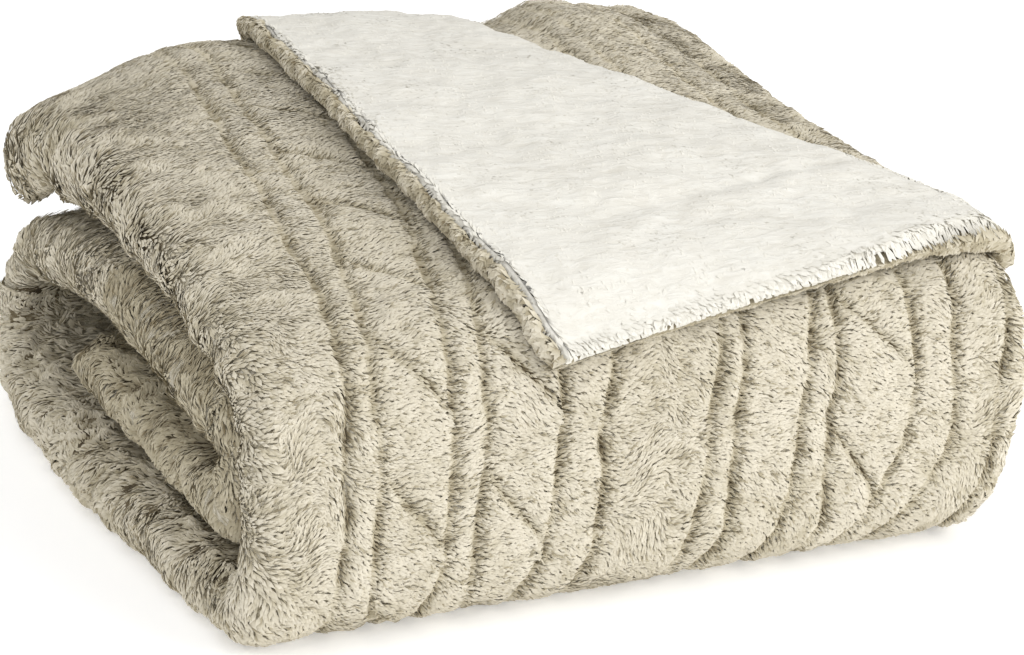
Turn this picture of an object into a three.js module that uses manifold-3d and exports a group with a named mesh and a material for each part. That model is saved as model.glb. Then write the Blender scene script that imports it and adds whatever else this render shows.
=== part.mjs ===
// A cable knit throw, folded lengthwise in thirds, rolled over on itself, with one corner turned back.
// Millimetres, +Z up. X runs along the bundle, Y to its back. The origin is under its middle, on the floor.

import * as THREE from "three";
import Module from "manifold-3d";
import { mergeVertices } from "three/addons/utils/BufferGeometryUtils.js";

const wasm = await Module();
wasm.setup();

// The cloth: a plush face and a fleece back, sewn together round the edge
const CLOTH = 11.3; // both panels with their pile
const LAYER_GAP = 1.2; // air between two layers of the folded strip
const PITCH = CLOTH + LAYER_GAP;
const HALF_STRIP = PITCH + CLOTH / 2; // the strip is three layers thick

// The bundle
const LENGTH = 430; // along X, before the ends lean
const MIDDLE = { x: 208.6, y: 190 }; // of the footprint, in the sizes of the tables below
const HEM_SETBACK = 6; // of both side hems from the fold that they lie in

// The way of the strip through the bundle, from its free end on top to its core: corners with round turns.
// y from the front and z up, at the left and at the right end; crown is how much higher the middle stands;
// lean moves the left and the right end along X; turn is the radius, in this many flat steps.
const PATH_COLUMNS = [
  "part", "yLeft", "zLeft", "yRight", "zRight", "crown", "leanLeft", "leanRight", "turn", "steps",
];
const PATH = [
  ["free end", 392, 150, 388, 176, 19, -6, -30, 0, 0],
  ["top, back", 338, 170, 336, 176, 21, -8, -25, 130, 2],
  ["top, middle", 220, 170, 220, 159, 19, -3, -20, 330, 2],
  ["top, front", 100, 157, 98, 145, 10, 1, -9, 200, 2],
  ["front shoulder", 1, 127, -1, 123, 6, 2, -2, 62, 5],
  ["front, middle", -16, 70, -18, 70, 2, -2, -11, 90, 2],
  ["front, foot", -15, HALF_STRIP, -18, HALF_STRIP, 0, -8, -26, 33, 5],
  ["under side, middle", 190, HALF_STRIP, 190, HALF_STRIP, 0, -24, -26, 0, 0],
  ["under side, back", 310, HALF_STRIP, 310, HALF_STRIP, 0, -25, -26, 0, 0],
  ["back roll, foot", 404, HALF_STRIP, 400, HALF_STRIP, 0, -15, -26, 42, 5],
  ["back roll, top", 394, 91, 394, 106, 5, -4, -26, 37, 5],
  ["second pass", 230, 119, 225, 115, 9, -4, -20, 300, 2],
  ["inner fold, top", 27, 102, 27, 98, 2, 0, -14, 22, 5],
  ["inner fold, foot", 24, 57, 24, 56, 0, 0, -14, 21.5, 5],
  ["core end", 262, 61, 250, 58, 0, -6, -16, 0, 0],
];

// The turned-back corner
const FACE_THICK = 6; // the plush alone
const BACK_THICK = 6.5; // the fleece alone
const PIECE_GAP = 1;
const LIE_GAP = 2; // between the corner and the top that it lies on
const BACK_INSET = 3; // of the fleece from the rolled plush hem
const FOLD_LIP = 14; // width of the fold that closes the corner's far side
const FOLD_EDGE = 7; // height of that fold's edge
const HEM_FROM_END = { left: 407, right: 368 }; // of the front hem, along the top from the strip's free end
const CORNER_ROWS = 15;
const ROW_CROWDING = 1.4; // over 1, the rows lie closer at the front hem
const TURN_FACETS = 6; // round the back edge
const TURN_DEPTH = 3.8; // how deep in the top layer the turned plush goes on
const TURN_END = 6; // how far it runs into the top layer

// Run is the share of the way from the front hem to the back edge. Across is measured along X over the top
// and down the right end. Lip is the share of the fold on the far side. Lift is how far the corner stands off
// the top at its left hem, in its middle, at the arch of its front hem and over the right end.
const CORNER_COLUMNS = ["run", "left", "right", "lip", "liftLeft", "liftMiddle", "liftArch", "liftEnd"];
const CORNER = [
  [0.0, 157, 444, 0.2, 0, 0, 7, 0],
  [0.03, 148, 442, 0.2, 0.5, 0, 6, 0],
  [0.1, 141, 430, 0.2, 2, 0, 2, 0],
  [0.22, 133, 400, 0.4, 4, 0, 0, 0],
  [0.36, 128, 366, 1, 6, 0, 0, 0],
  [0.55, 129, 326, 1, 6, 0, 0, 0],
  [0.78, 134, 293, 1, 4, 0, 0, 0],
  [1.0, 146, 272, 1, 2, 0, 0, 0],
];
const LIFT_SHARES = [0, 0.3, 0.77, 1]; // where across the corner the four lifts are
const CORNER_SHARES = [0, 0.17, 0.34, 0.5, 0.62, 0.7, 0.77, 0.83, 0.88, 0.91, 0.94, 0.97, 1];

const ACROSS_STEPS = 8;
const LEFT_FOLD_STEPS = 6;
const RIGHT_FOLD_STEPS = 5;

const FACE_FINISH = new THREE.MeshStandardMaterial({ color: 0xcdc6b4, roughness: 0.95, metalness: 0 });
const BACK_FINISH = new THREE.MeshStandardMaterial({ color: 0xf1ede4, roughness: 0.98, metalness: 0 });

const mix = (a, b, share) => a + (b - a) * share;

const namedRows = (rows, columns) =>
  rows.map((row) => Object.fromEntries(columns.map((column, index) => [column, row[index]])));

// The value at this place between the two neighbours of a rising list, for each key that both carry
function between(rows, placeOf, place) {
  const next = THREE.MathUtils.clamp(
    rows.findIndex((row) => placeOf(row) >= place),
    1,
    rows.length - 1,
  );
  const [from, to] = [rows[next - 1], rows[next]];
  const share = (place - placeOf(from)) / (placeOf(to) - placeOf(from));
  return Object.fromEntries(Object.keys(from).map((key) => [key, mix(from[key], to[key], share)]));
}

const PATH_TABLE = namedRows(PATH, PATH_COLUMNS);
const CORNER_TABLE = namedRows(CORNER, CORNER_COLUMNS);

// The strip's middle line in the section at this share of the length. Each station has its place, its normal
// to the outer side, its lean and its distance from the free end.
function stripLine(share) {
  const corners = PATH_TABLE.map((row) => ({
    y: mix(row.yLeft, row.yRight, share),
    z: mix(row.zLeft, row.zRight, share) + row.crown * Math.sin(Math.PI * share),
    lean: mix(row.leanLeft, row.leanRight, share),
    turn: row.turn,
    steps: row.steps,
  }));
  const stations = [];
  const leans = [];
  const place = (y, z, way) => {
    const last = stations.at(-1);
    const along = last ? last.along + Math.hypot(y - last.y, z - last.z) : 0;
    stations.push({ y, z, normalY: way.z, normalZ: -way.y, along });
  };
  const wayFrom = (from, to) => {
    const reach = Math.hypot(to.y - from.y, to.z - from.z);
    return { y: (to.y - from.y) / reach, z: (to.z - from.z) / reach };
  };
  const [first, last] = [corners[0], corners.at(-1)];
  place(first.y, first.z, wayFrom(first, corners[1]));
  leans.push({ along: 0, lean: first.lean });
  for (let index = 1; index < corners.length - 1; index += 1) {
    const corner = corners[index];
    const before = wayFrom(corners[index - 1], corner);
    const after = wayFrom(corner, corners[index + 1]);
    const bend = Math.acos(THREE.MathUtils.clamp(before.y * after.y + before.z * after.z, -1, 1));
    const tangent = corner.turn * Math.tan(bend / 2);
    const centre = {
      y: corner.y - before.y * tangent - before.z * corner.turn,
      z: corner.z - before.z * tangent + before.y * corner.turn,
    };
    for (let step = 0; step <= corner.steps; step += 1) {
      const angle = corner.steps ? (bend * step) / corner.steps : bend / 2;
      const way = {
        y: before.y * Math.cos(angle) - before.z * Math.sin(angle),
        z: before.z * Math.cos(angle) + before.y * Math.sin(angle),
      };
      place(centre.y + way.z * corner.turn, centre.z - way.y * corner.turn, way);
    }
    const [entry, exit] = [stations.at(-1 - corner.steps), stations.at(-1)];
    leans.push({ along: mix(entry.along, exit.along, 0.5), lean: corner.lean });
  }
  place(last.y, last.z, wayFrom(corners.at(-2), last));
  leans.push({ along: stations.at(-1).along, lean: last.lean });
  for (const station of stations) {
    station.lean = between(leans, (row) => row.along, station.along).lean;
  }
  return stations;
}

const shareOf = (across) => THREE.MathUtils.clamp(across / LENGTH, 0, 1);

// A point at one station of the strip, this far across it and this high over its middle
const onStation = (station, across, height) =>
  new THREE.Vector3(
    across + station.lean - MIDDLE.x,
    station.y + station.normalY * height - MIDDLE.y,
    station.z + station.normalZ * height,
  );

// The same at this distance from the strip's free end
function onStrip(across, along, height) {
  const station = between(stripLine(shareOf(across)), (row) => row.along, along);
  const size = Math.hypot(station.normalY, station.normalZ);
  station.normalY /= size;
  station.normalZ /= size;
  return onStation(station, across, height);
}

// Joins rings of points, each with as many as the next, into one closed body. A ring is two equally long
// sides, one there and one back, and the ends are closed from side to side.
function closedLoft(rings) {
  const count = rings[0].length;
  const triangles = [];
  for (let ring = 0; ring < rings.length - 1; ring += 1) {
    for (let index = 0; index < count; index += 1) {
      const [a, b] = [ring * count + index, ring * count + ((index + 1) % count)];
      const [c, d] = [a + count, b + count];
      // both sides of a layer are split along the same diagonal
      if (index < count / 2) {
        triangles.push(a, c, b, b, c, d);
      } else {
        triangles.push(a, c, d, a, d, b);
      }
    }
  }
  const last = (rings.length - 1) * count;
  for (let index = 0; index < count / 2 - 1; index += 1) {
    const [a, b, c, d] = [index, index + 1, count - 1 - index, count - 2 - index];
    triangles.push(a, b, c, b, d, c);
    triangles.push(last + a, last + c, last + b, last + b, last + c, last + d);
  }
  const geometry = new THREE.BufferGeometry();
  const positions = rings.flat().flatMap((point) => point.toArray());
  geometry.setAttribute("position", new THREE.Float32BufferAttribute(positions, 3));
  geometry.setIndex(triangles);
  return geometry;
}

// Across the strip the cloth lies in thirds: the outer third, and both others folded under it from the ends.
// Each step of its middle line has its place across, its height over the strip's middle, and its normal.
function acrossThirds() {
  const leftTurn = PITCH;
  const rightTurn = PITCH / 2;
  const left = leftTurn + CLOTH / 2;
  const right = LENGTH - rightTurn - CLOTH / 2;
  const at = (index) => mix(left, right, index / (ACROSS_STEPS - 1));
  const steps = [];
  const add = (across, height, normalX, normalHeight) => {
    steps.push({ across, height, normalX, normalHeight });
  };
  for (let index = ACROSS_STEPS - 1; index >= 0; index -= 1) {
    add(Math.min(at(index), right - HEM_SETBACK), -PITCH, 0, -1);
  }
  for (let step = 1; step < LEFT_FOLD_STEPS; step += 1) {
    const angle = -Math.PI / 2 - (Math.PI * step) / LEFT_FOLD_STEPS;
    const [cos, sin] = [Math.cos(angle), Math.sin(angle)];
    add(left + leftTurn * cos, leftTurn * sin, cos, sin);
  }
  for (let index = 0; index < ACROSS_STEPS; index += 1) {
    add(at(index), PITCH, 0, 1);
  }
  for (let step = 1; step < RIGHT_FOLD_STEPS; step += 1) {
    const angle = Math.PI / 2 - (Math.PI * step) / RIGHT_FOLD_STEPS;
    const [cos, sin] = [Math.cos(angle), Math.sin(angle)];
    add(right + rightTurn * cos, rightTurn + rightTurn * sin, cos, sin);
  }
  for (let index = ACROSS_STEPS - 1; index >= 0; index -= 1) {
    add(Math.max(at(index), left + HEM_SETBACK), 0, 0, -1);
  }
  return steps;
}

// The folded and rolled cloth: one ring across the strip for each station along it
function rolledCloth() {
  const sides = [1, -1].map((side) =>
    acrossThirds().map((step) => ({
      across: step.across + (side * step.normalX * CLOTH) / 2,
      height: step.height + (side * step.normalHeight * CLOTH) / 2,
      stations: stripLine(shareOf(step.across)),
    })),
  );
  const outline = [...sides[0], ...sides[1].reverse()];
  const rings = outline[0].stations.map((_, station) =>
    outline.map((point) => onStation(point.stations[station], point.across, point.height)),
  );
  return closedLoft(rings);
}

// The corner at this share of its run: where its columns lie across and how far each stands off the top.
// The first column is the plush hem, the second the fleece's; the last two are the far fold's inner and outer
// side.
function cornerColumns(run) {
  const row = between(CORNER_TABLE, (entry) => entry.run, run);
  const lifts = [row.liftLeft, row.liftMiddle, row.liftArch, row.liftEnd];
  const liftTable = lifts.map((lift, index) => ({ share: LIFT_SHARES[index], lift }));
  const inner = { left: row.left + BACK_INSET, right: row.right - FOLD_LIP * row.lip };
  const spread = CORNER_SHARES.map((share) => mix(inner.left, inner.right, share));
  return [row.left, ...spread, row.right].map((across, index, all) => {
    const share = (across - row.left) / (row.right - row.left);
    const hem = mix(HEM_FROM_END.left, HEM_FROM_END.right, share);
    return {
      across,
      along: hem * (1 - run),
      lift: LIE_GAP + between(liftTable, (entry) => entry.share, share).lift,
      fold: index === all.length - 1 ? row.lip : 0,
    };
  });
}

// On the top the corner lies on the strip. Past the right end it goes round the end's fold and hangs down.
function overTheEnd({ across, along, lift }, height) {
  const turn = PITCH / 2;
  const round = turn + CLOTH / 2;
  const end = LENGTH - round;
  const over = lift + height;
  if (across <= end) {
    return onStrip(across, along, HALF_STRIP + over);
  }
  const quarter = (round * Math.PI) / 2;
  const angle = Math.min((across - end) / round, Math.PI / 2);
  const drop = Math.max(across - end - quarter, 0);
  const reach = (round + over) * Math.sin(angle);
  const place = onStrip(end, along, turn + (round + over) * Math.cos(angle) - drop);
  place.x += reach;
  return place;
}

// At the back edge the corner turns under on a half circle, which ends in the top layer
function roundTheBack({ across, lift }, height, angle) {
  const turn = (lift + FACE_THICK / 2 + TURN_DEPTH) / 2;
  const reach = turn + height - FACE_THICK / 2;
  const edge = stripLine(shareOf(across))[0];
  const place = onStation(edge, across, HALF_STRIP + turn - TURN_DEPTH + reach * Math.cos(angle));
  place.y += edge.normalZ * reach * Math.sin(angle);
  place.z -= edge.normalY * reach * Math.sin(angle);
  return place;
}

// One layer of the corner between two heights over its under side, with a slice of the columns, from this row
// on, and with this many facets of the turn at the back. Each ring goes there along the under side and back
// along the upper one.
function cornerRings({ from, to, columnSlice, firstRow, turnFacets }) {
  const ring = (table, pointAt) => {
    const chosen = table.slice(...columnSlice);
    const foldTo = (height, low) => (column) => pointAt(column, mix(height, low, column.fold));
    return [...chosen.map(foldTo(from, 0)), ...chosen.map(foldTo(to, FOLD_EDGE)).reverse()];
  };
  const runs = [0, BACK_INSET / HEM_FROM_END.left];
  for (let row = 1; row <= CORNER_ROWS; row += 1) {
    runs.push((row / CORNER_ROWS) ** ROW_CROWDING);
  }
  const rings = runs.slice(firstRow).map((run) => ring(cornerColumns(run), overTheEnd));
  const back = cornerColumns(1);
  for (let facet = 1; facet <= turnFacets; facet += 1) {
    const angle = (Math.PI * facet) / TURN_FACETS;
    rings.push(ring(back, (column, height) => roundTheBack(column, height, angle)));
  }
  return { rings, ring, back };
}

// The plush face: the rolled cloth, and the corner's under side, which goes on from it round the back edge
function facePanel() {
  const { rings, ring, back } = cornerRings({
    from: 0,
    to: FACE_THICK,
    columnSlice: [0, -1],
    firstRow: 0,
    turnFacets: TURN_FACETS,
  });
  const intoTop = ({ across }, height) =>
    onStrip(across, TURN_END, HALF_STRIP - TURN_DEPTH - (height - FACE_THICK / 2));
  rings.push(ring(back, intoTop));
  return join(rolledCloth(), closedLoft(rings));
}

// The fleece back, where it shows: on the corner, round the back edge and down the far fold
function backPanel() {
  const from = FACE_THICK + PIECE_GAP;
  const { rings } = cornerRings({
    from,
    to: from + BACK_THICK,
    columnSlice: [1],
    firstRow: 1,
    turnFacets: TURN_FACETS - 1,
  });
  return closedLoft(rings);
}

function solidOf(geometry) {
  const bare = mergeVertices(geometry);
  return new wasm.Manifold(
    new wasm.Mesh({
      numProp: 3,
      vertProperties: new Float32Array(bare.getAttribute("position").array),
      triVerts: new Uint32Array(bare.getIndex().array),
    }),
  );
}

function join(first, second) {
  const mesh = solidOf(first).add(solidOf(second)).getMesh();
  const geometry = new THREE.BufferGeometry();
  geometry.setAttribute("position", new THREE.BufferAttribute(mesh.vertProperties, 3));
  geometry.setIndex(new THREE.BufferAttribute(mesh.triVerts, 1));
  return geometry;
}

function piece(name, geometry, finish) {
  const mesh = new THREE.Mesh(geometry, finish);
  mesh.name = name;
  return mesh;
}

const bundle = new THREE.Group();
bundle.name = "cable_knit_throw";
bundle.add(piece("plush_face_panel", facePanel(), FACE_FINISH));
bundle.add(piece("fleece_back_panel", backPanel(), BACK_FINISH));

export default bundle;
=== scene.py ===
# %% [markdown]
# # A folded plush throw with sculpted cables
# The real object is one blanket: a deep beige plush face and a cream fleece back, sewn together
# round the edge. It lies folded lengthwise in thirds and rolled over on itself, and one corner is
# turned back over the top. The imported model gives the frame: every piece below is made in the same
# place as its solid.

import math

import bmesh
import bpy
import numpy as np
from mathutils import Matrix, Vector


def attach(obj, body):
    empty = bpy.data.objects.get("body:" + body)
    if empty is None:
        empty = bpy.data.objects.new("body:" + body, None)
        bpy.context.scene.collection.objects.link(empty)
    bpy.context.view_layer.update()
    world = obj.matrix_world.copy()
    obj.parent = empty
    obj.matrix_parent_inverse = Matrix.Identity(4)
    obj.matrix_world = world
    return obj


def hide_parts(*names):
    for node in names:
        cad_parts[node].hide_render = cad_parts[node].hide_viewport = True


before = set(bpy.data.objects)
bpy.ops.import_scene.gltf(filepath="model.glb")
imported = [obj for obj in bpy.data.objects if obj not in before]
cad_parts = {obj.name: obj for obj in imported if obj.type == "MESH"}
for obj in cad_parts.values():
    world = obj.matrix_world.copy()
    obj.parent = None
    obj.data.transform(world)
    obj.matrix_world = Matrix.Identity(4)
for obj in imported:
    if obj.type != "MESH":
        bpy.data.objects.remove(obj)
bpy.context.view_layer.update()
MM = 0.001  # sizes are written in millimetres below, and the scene is in metres


# %% An object in the scene
def put(name, data):
    made = bpy.data.objects.new(name, data)
    bpy.context.collection.objects.link(made)
    return made


# %% [markdown]
# ## Camera, floor and light
# The camera looks a little from the left and from above, from far off with a long lens, so the
# sides hardly converge. A camera could also be turned by hand; here its place is worked out from
# two angles and a distance.

# %% Camera
TARGET = Vector((-0.0646, -0.190, 0.1465))
AZIMUTH = math.radians(-23.2)
ELEVATION = math.radians(19.3)
DISTANCE = 1.6
LENS = 116.0
FAR_ENOUGH = 50

towards_eye = Vector(
    (
        math.sin(AZIMUTH) * math.cos(ELEVATION),
        -math.cos(AZIMUTH) * math.cos(ELEVATION),
        math.sin(ELEVATION),
    )
)
camera_data = bpy.data.cameras.new("camera")
camera_data.lens = LENS
camera_data.clip_end = FAR_ENOUGH
camera = put("camera", camera_data)
camera.location = TARGET + towards_eye * DISTANCE
camera.rotation_euler = towards_eye.to_track_quat("Z", "Y").to_euler()
bpy.context.scene.camera = camera
bpy.context.scene.view_settings.view_transform = "Standard"
print("camera at", tuple(round(v, 3) for v in camera.location))


# %% Soft studio light
def softbox(name, location, size, power, aim=(0, 0, 0.1)):
    data = bpy.data.lights.new(name, "AREA")
    data.shape = "SQUARE"
    data.size = size
    data.energy = power
    lamp = put(name, data)
    lamp.location = location
    lamp.rotation_euler = (Vector(location) - Vector(aim)).to_track_quat("Z", "Y").to_euler()


ROOM_LIGHT = 0.73
softbox("key_light", (1.6, -2.2, 1.35), 2.0, 48)
softbox("left_light", (-1.3, -0.9, 2.5), 2.0, 16)
world = bpy.data.worlds.new("studio")
world.use_nodes = True
world.node_tree.nodes["Background"].inputs["Color"].default_value = (1, 1, 1, 1)
world.node_tree.nodes["Background"].inputs["Strength"].default_value = ROOM_LIGHT
bpy.context.scene.world = world

# %% [markdown]
# ## Shader helpers
# Patterns are sums and products of simple fields, so they read best as plain expressions. A small
# class wraps a socket and adds a Math node for each operator. One method makes any other node, and
# those that are needed often have a short one each.


# %% Shader helpers
class Field:
    """A socket of a material: sums and products of it are Math nodes."""

    def __init__(self, tree, socket):
        self.tree = tree
        self.socket = socket

    def _math(self, operation, a, b=None):
        values = {0: a} if b is None else {0: a, 1: b}
        return self.node("ShaderNodeMath", {"operation": operation}, values)

    def node(self, kind, settings=None, values=None, out=0):
        """Any node: its settings first, then the values or links of its sockets."""
        made = self.tree.nodes.new(kind)
        for key, value in (settings or {}).items():
            if key == "stops":
                set_stops(made.color_ramp, value)
            else:
                setattr(made, key, value)
        for key, value in (values or {}).items():
            if isinstance(value, Field):
                self.tree.links.new(value.socket, made.inputs[key])
            else:
                made.inputs[key].default_value = value
        return Field(self.tree, made.outputs[out])

    def __add__(self, other):
        return self._math("ADD", self, other)

    def __sub__(self, other):
        return self._math("SUBTRACT", self, other)

    def __rsub__(self, other):
        return self._math("SUBTRACT", other, self)

    def __mul__(self, other):
        return self._math("MULTIPLY", self, other)

    def larger(self, other):
        return self._math("MAXIMUM", self, other)

    def exponent(self):
        return self._math("EXPONENT", self)

    def clamp(self):
        return self.node("ShaderNodeClamp", None, {0: self})

    def ramp(self, stops):
        return self.node("ShaderNodeValToRGB", {"stops": stops}, {0: self})

    def bump(self, strength, distance):
        values = {"Strength": strength, "Distance": distance, "Height": self}
        return self.node("ShaderNodeBump", None, values)

    def into(self, socket):
        self.tree.links.new(self.socket, socket)

    def place(self):
        return self.node("ShaderNodeTexCoord", out=3)

    def carried(self, name):
        """What each point of the mesh carries under a name."""
        return self.node("ShaderNodeAttribute", {"attribute_name": name}, out=2)

    def noise(self, place, scale, **more):
        return self.node("ShaderNodeTexNoise", None, {"Vector": place, "Scale": scale, **more})

    def mix(self, share, first, second, blend="MIX"):
        settings = {"data_type": "RGBA", "blend_type": blend}
        return self.node("ShaderNodeMix", settings, {0: share, 6: first, 7: second}, 2)

    __radd__ = __add__
    __rmul__ = __mul__


# %% Colours and new materials
def set_stops(ramp, stops):
    while len(ramp.elements) < len(stops):
        ramp.elements.new(0.5)
    for element, (place, colour) in zip(ramp.elements, stops):
        element.position = place
        element.color = (*colour, 1)


def material(name, **constants):
    """A new material with constants on its shader, that shader, and a Field to make nodes with."""
    made = bpy.data.materials.new(name)
    made.use_nodes = True
    shader = made.node_tree.nodes["Principled BSDF"]
    for key, value in constants.items():
        shader.inputs[key.replace("_", " ")].default_value = value
    return made, shader, Field(made.node_tree, None)


def srgb(red, green, blue):
    """A colour as it is seen on a screen, from 11 to 255 each, as the shader wants it."""
    return tuple(((level / 255 + 0.055) / 1.055) ** 2.4 for level in (red, green, blue))


# %% [markdown]
# ## The floor
# A wide pale plane that takes the soft contact shadow.

# %% Floor
FLOOR_HALF = 12
FLOOR_GLOW = 0.31
floor_mesh = bpy.data.meshes.new("floor")
bm = bmesh.new()
bmesh.ops.create_grid(bm, x_segments=1, y_segments=1, size=FLOOR_HALF)
bm.to_mesh(floor_mesh)
bm.free()
floor = put("floor", floor_mesh)
floor_paper, floor_shader, node = material(
    "floor_paper", Roughness=0.9, Emission_Color=(1, 1, 1, 1), Emission_Strength=FLOOR_GLOW
)
paper = node.mix(node.noise(node.place(), 3.0), (0.93, 0.93, 0.93, 1), (0.95, 0.95, 0.95, 1))
paper.into(floor_shader.inputs["Base Color"])
floor_mesh.materials.append(floor_paper)
print("the floor is", 2 * FLOOR_HALF, "m wide")

# %% [markdown]
# ## The strip
# The blanket folded in thirds is a strip three layers thick. Its middle line runs from the free end
# on top, round the front, along the floor, up the back and forward again to the core. Each row is a
# corner of that line at the left and at the right end, with the radius of its turn. The line is
# worked out at some places across the bundle and everything else, cloth and pile alike, is laid on
# it.

# %% The sizes of the folded strip
CLOTH = 11.3  # one layer of the folded strip, plush and fleece together
PITCH = 12.5  # from the middle of one layer to the middle of the next
HALF_STRIP = PITCH + CLOTH / 2
LENGTH = 430.0  # the strip's width, along the bundle
MIDDLE_X = 208.6  # the middle of the footprint, in the strip's own measures
MIDDLE_Y = 190.0
TURN_FINENESS = 5  # steps of a turn for each step in the table

WAY = [
    # part, y left, z left, y right, z right, crown, lean left, lean right, turn, steps
    ("free end", 392, 150, 388, 176, 19, -6, -30, 0, 0),
    ("top, back", 338, 170, 336, 176, 21, -8, -25, 130, 2),
    ("top, middle", 220, 170, 220, 159, 19, -3, -20, 330, 2),
    ("top, front", 100, 157, 98, 145, 10, 1, -7, 200, 2),
    ("front shoulder", 1, 127, -1, 123, 6, 2, 1, 62, 5),
    ("front, middle", -16, 70, -18, 70, 2, -2, -11, 90, 2),
    ("front, foot", -15, HALF_STRIP, -18, HALF_STRIP, 0, -8, -26, 33, 5),
    ("under side, middle", 190, HALF_STRIP, 190, HALF_STRIP, 0, -24, -26, 0, 0),
    ("under side, back", 310, HALF_STRIP, 310, HALF_STRIP, 0, -25, -26, 0, 0),
    ("back roll, foot", 404, HALF_STRIP, 400, HALF_STRIP, 0, -15, -26, 42, 5),
    ("back roll, top", 394, 88, 394, 106, 7, -4, -26, 37, 5),
    ("second pass", 230, 119, 225, 115, 9, -4, -20, 300, 2),
    ("inner fold, top", 27, 102, 27, 98, 2, 0, -14, 22, 5),
    ("inner fold, foot", 24, 57, 24, 56, 0, 0, -14, 21.5, 5),
    ("core end", 262, 61, 250, 58, 0, -6, -16, 0, 0),
]


# %% The middle line at one place across the bundle
def strip_line(share):
    """Rows of: way from the free end, y, z, the line's normal in y and z, and the lean along x."""
    corners = []
    for _, y_left, z_left, y_right, z_right, crown, lean_left, lean_right, turn, steps in WAY:
        y = y_left + (y_right - y_left) * share
        z = z_left + (z_right - z_left) * share + crown * math.sin(math.pi * share)
        lean = lean_left + (lean_right - lean_left) * share
        corners.append((np.array((y, z)), lean, turn, steps * TURN_FINENESS))
    places, ways = [corners[0][0]], [corners[1][0] - corners[0][0]]
    lean_at, leans = [0], [corners[0][1]]
    for (before, *_), (corner, lean, turn, steps), (after, *_) in zip(corners, corners[1:], corners[2:]):
        way_in = (corner - before) / np.linalg.norm(corner - before)
        way_out = (after - corner) / np.linalg.norm(after - corner)
        bend = math.acos(min(1, float(way_in @ way_out)))
        centre = corner - way_in * turn * math.tan(bend / 2) + np.array((-way_in[1], way_in[0])) * turn
        for step in range(steps + 1):
            angle = bend * step / steps if steps else bend / 2
            way = np.array(
                (
                    way_in[0] * math.cos(angle) - way_in[1] * math.sin(angle),
                    way_in[1] * math.cos(angle) + way_in[0] * math.sin(angle),
                )
            )
            places.append(centre + np.array((way[1], -way[0])) * turn)
            ways.append(way)
        lean_at.append(len(places) - 1 - steps / 2)
        leans.append(lean)
    places.append(corners[-1][0])
    ways.append(corners[-1][0] - corners[-2][0])
    lean_at.append(len(places) - 1)
    leans.append(corners[-1][1])
    places, ways = np.array(places), np.array(ways)
    ways /= np.linalg.norm(ways, axis=1)[:, None]
    along = np.concatenate([[0], np.cumsum(np.linalg.norm(np.diff(places, axis=0), axis=1))])
    lean = np.interp(along, np.interp(lean_at, range(len(along)), along), leans)
    return np.column_stack([along, places, ways[:, 1], -ways[:, 0], lean])


# The free end isn't even: it stands higher at two places, and lower between them and at its left end.
BACK_SWELLS = [
    # middle across, reach, rise
    (104, 42, 9),
    (268, 56, -10),
    (308, 22, -4),
    (352, 30, 6),
    (0, 35, -5),
]
LOOSE_REACH = 130  # how far from the free end this is seen
END_SAG = 18  # how far the lower layers hang down at the left end of the free end
END_SAG_AT = -5
END_SAG_REACH = 60
SHARES = np.linspace(0, 1, 44)
LINES = [strip_line(share) for share in SHARES]
STRIP_LENGTH = float(np.mean([line[-1, 0] for line in LINES]))
print("the folded strip is", round(STRIP_LENGTH), "mm long")


# %% Any point on or over the strip
def on_strip(across, along, height):
    """across: from the left fold; along: from the free end; height: over the strip's middle."""
    across, along, height = np.broadcast_arrays(*(np.asarray(v, float) for v in (across, along, height)))
    place = np.clip(across / LENGTH, 0, 1) * (len(SHARES) - 1)
    below = np.minimum(place.astype(int), len(SHARES) - 2)
    part = place - below
    found = np.zeros(across.shape + (5,))
    for index in np.unique(below):
        here = below == index
        for line, weight in ((LINES[index], 1 - part[here]), (LINES[index + 1], part[here])):
            for column in range(5):
                found[here, column] += weight * np.interp(along[here], line[:, 0], line[:, column + 1])
    size = np.hypot(found[..., 2], found[..., 3])
    normal_y, normal_z = found[..., 2] / size, found[..., 3] / size
    swell = sum(rise * np.exp(-(((across - middle) / reach) ** 2)) for middle, reach, rise in BACK_SWELLS)
    at_left_end = np.exp(-(((across - END_SAG_AT) / END_SAG_REACH) ** 2))
    sag = END_SAG * np.clip(-height / HALF_STRIP, 0, 1) * at_left_end
    loose = np.exp(-((along / LOOSE_REACH) ** 2))
    beyond = np.minimum(along, 0)
    return np.stack(
        [
            across + found[..., 4] - MIDDLE_X,
            found[..., 0] + normal_y * height - normal_z * beyond - MIDDLE_Y,
            found[..., 1] + normal_z * height + normal_y * beyond + (swell - sag) * loose,
        ],
        axis=-1,
    )


# %% [markdown]
# ## The chart of the cables
# The plush is sculpted: straight ribs, cables of two crossing strands and mossy panels, parted by
# narrow grooves. The grooves are charted one row a groove, as its place across the bundle at ten
# distances from the free end. Inside the three cables a diagonal groove comes back at every
# crossing.

# %% Smooth noise for everything that is uneven
NOISE_SIZE = 256
NOISE = np.random.default_rng(11).random((NOISE_SIZE, NOISE_SIZE)) * 2 - 1
LAYER_X, LAYER_Y = 37.7, 11.3  # where on that square each layer of noise starts


def ripple(x, y, size, layer=0):
    """Smooth noise from -1 to 1, whose swells are about size apart."""
    x = np.asarray(x, float) / size + LAYER_X * layer
    y = np.asarray(y, float) / size + LAYER_Y * layer
    column, row = np.floor(x).astype(int), np.floor(y).astype(int)
    part_x, part_y = x - column, y - row
    ease_x, ease_y = part_x * part_x * (3 - 2 * part_x), part_y * part_y * (3 - 2 * part_y)

    def corner(dx, dy):
        return NOISE[(column + dx) % NOISE_SIZE, (row + dy) % NOISE_SIZE]

    low = corner(0, 0) * (1 - ease_x) + corner(1, 0) * ease_x
    high = corner(0, 1) * (1 - ease_x) + corner(1, 1) * ease_x
    return low * (1 - ease_y) + high * ease_y


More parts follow.
